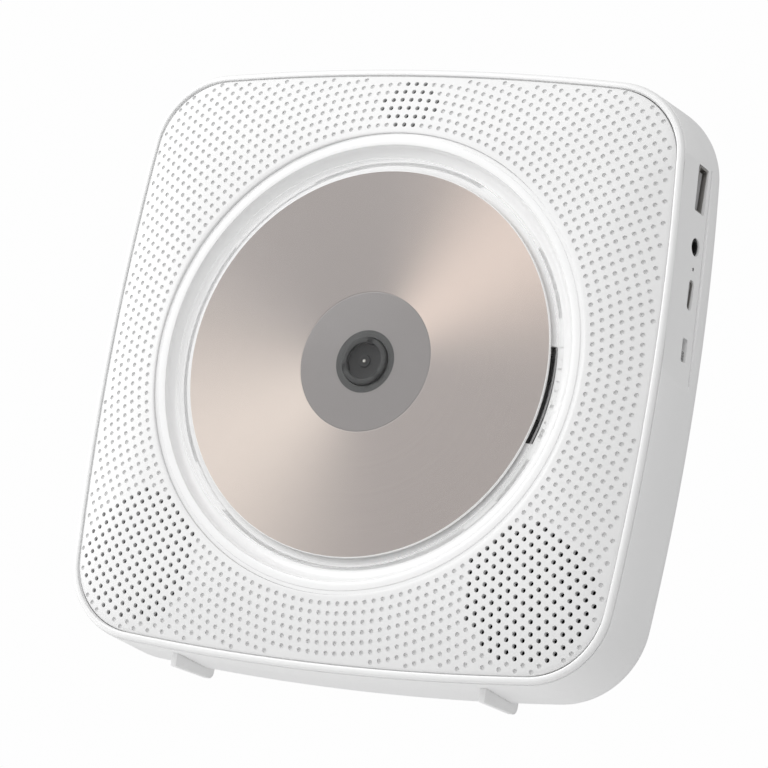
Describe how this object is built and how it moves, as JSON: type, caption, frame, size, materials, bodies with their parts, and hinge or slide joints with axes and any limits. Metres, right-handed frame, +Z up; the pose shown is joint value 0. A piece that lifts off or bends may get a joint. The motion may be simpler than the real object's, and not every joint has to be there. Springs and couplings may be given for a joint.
{
  "type": "wall mounted cd player",
  "caption": "Square wall mounted CD player with bowed sides, a domed perforated front, a clear round cap over the disc, side sockets, top buttons and two thin stand fins.",
  "frame": {"origin": "point of the wall plane behind the spindle axis, on the rear face of the body", "axes": "+X to the right and +Z up as seen from the front, +Y into the wall; the front faces -Y"},
  "size_m": [0.1908, 0.0356, 0.192],
  "materials": {
    "shell_white": "satin white injection moulded plastic",
    "panel_white": "fine satin white moulded plastic",
    "clear_plastic": "clear polished polycarbonate",
    "disc_silver": "clear disc with a vacuum-coated silver layer",
    "dark_plastic": "charcoal moulded plastic",
    "plated_steel": "nickel plated steel",
    "lens_plastic": "polished lens in its holder",
    "rubber_black": "soft black rubber",
    "board_green": "solder-masked circuit board",
    "light_plastic": "frosted clear light pipe",
    "battery_wrap": "shrink wrapped cells",
    "speaker_black": "black speaker frame and cone"
  },
  "bodies": {
    "body": {"main_housing": "shell_white", "front_bezel": "shell_white", "front_panel": "panel_white", "disc_well": "shell_white", "spindle_motor": "plated_steel", "mechanism_base": "dark_plastic", "guide_rods": "plated_steel", "feed_motor": "plated_steel", "chassis_dampers": "rubber_black", "rear_cover": "shell_white", "rear_screws": "plated_steel", "main_board": "board_green", "usb_socket": "plated_steel", "audio_jack": "dark_plastic", "status_light_pipe": "light_plastic", "charge_socket": "plated_steel", "power_switch": "dark_plastic", "battery": "battery_wrap", "display_board": "board_green", "button_board": "board_green", "foot_left": "shell_white", "foot_right": "shell_white", "speakers": "speaker_black"},
    "cap": {"dust_cover": "clear_plastic"},
    "rotor": {"turntable": "dark_plastic"},
    "disc": {"disc": "disc_silver"},
    "pickup": {"optical_pickup": "dark_plastic", "pickup_lens": "lens_plastic"},
    "lead_screw": {"feed_screw": "plated_steel"},
    "switch": {"switch_knob": "dark_plastic"},
    "button_volume_down": {"button_volume_down": "shell_white"},
    "button_previous": {"button_previous": "shell_white"},
    "button_play": {"button_play": "shell_white"},
    "button_next": {"button_next": "shell_white"},
    "button_volume_up": {"button_volume_up": "shell_white"}
  },
  "joints": [
    {"name": "cover_lift", "type": "slide", "parent": "body", "child": "cap", "axis": [0, -1, 0], "range_m": [0, 0.05]},
    {"name": "turntable_spin", "type": "hinge", "parent": "body", "child": "rotor", "pos_m": [0, -0.03, 0], "axis": [0, -1, 0], "continuous": true},
    {"name": "disc_lift", "type": "slide", "parent": "rotor", "child": "disc", "axis": [0, -1, 0], "range_m": [0, 0.025]},
    {"name": "pickup_travel", "type": "slide", "parent": "body", "child": "pickup", "axis": [0.9945, 0, -0.1045], "range_m": [0, 0.034]},
    {"name": "feed_screw_turn", "type": "hinge", "parent": "body", "child": "lead_screw", "pos_m": [0.00152, -0.0249, 0.01442], "axis": [0.9945, 0, -0.1045], "range_deg": [0, 4082]},
    {"name": "power_switch_slide", "type": "slide", "parent": "body", "child": "switch", "axis": [0, 0, 1], "range_m": [0, 0.0035]},
    {"name": "button_volume_down_press", "type": "slide", "parent": "body", "child": "button_volume_down", "axis": [0, 0, -1], "range_m": [0, 0.0008], "stiffness_N_per_m": 300, "springref_m": -0.0005},
    {"name": "button_previous_press", "type": "slide", "parent": "body", "child": "button_previous", "axis": [0, 0, -1], "range_m": [0, 0.0008], "stiffness_N_per_m": 300, "springref_m": -0.0005},
    {"name": "button_play_press", "type": "slide", "parent": "body", "child": "button_play", "axis": [0, 0, -1], "range_m": [0, 0.0008], "stiffness_N_per_m": 300, "springref_m": -0.0005},
    {"name": "button_next_press", "type": "slide", "parent": "body", "child": "button_next", "axis": [0, 0, -1], "range_m": [0, 0.0008], "stiffness_N_per_m": 300, "springref_m": -0.0005},
    {"name": "button_volume_up_press", "type": "slide", "parent": "body", "child": "button_volume_up", "axis": [0, 0, -1], "range_m": [0, 0.0008], "stiffness_N_per_m": 300, "springref_m": -0.0005}
  ],
  "couplings": [
    {"joint": "disc_lift", "follows": "cover_lift", "ratio": 0.5},
    {"joint": "feed_screw_turn", "follows": "pickup_travel", "rad_per_m": 2094.4}
  ]
}
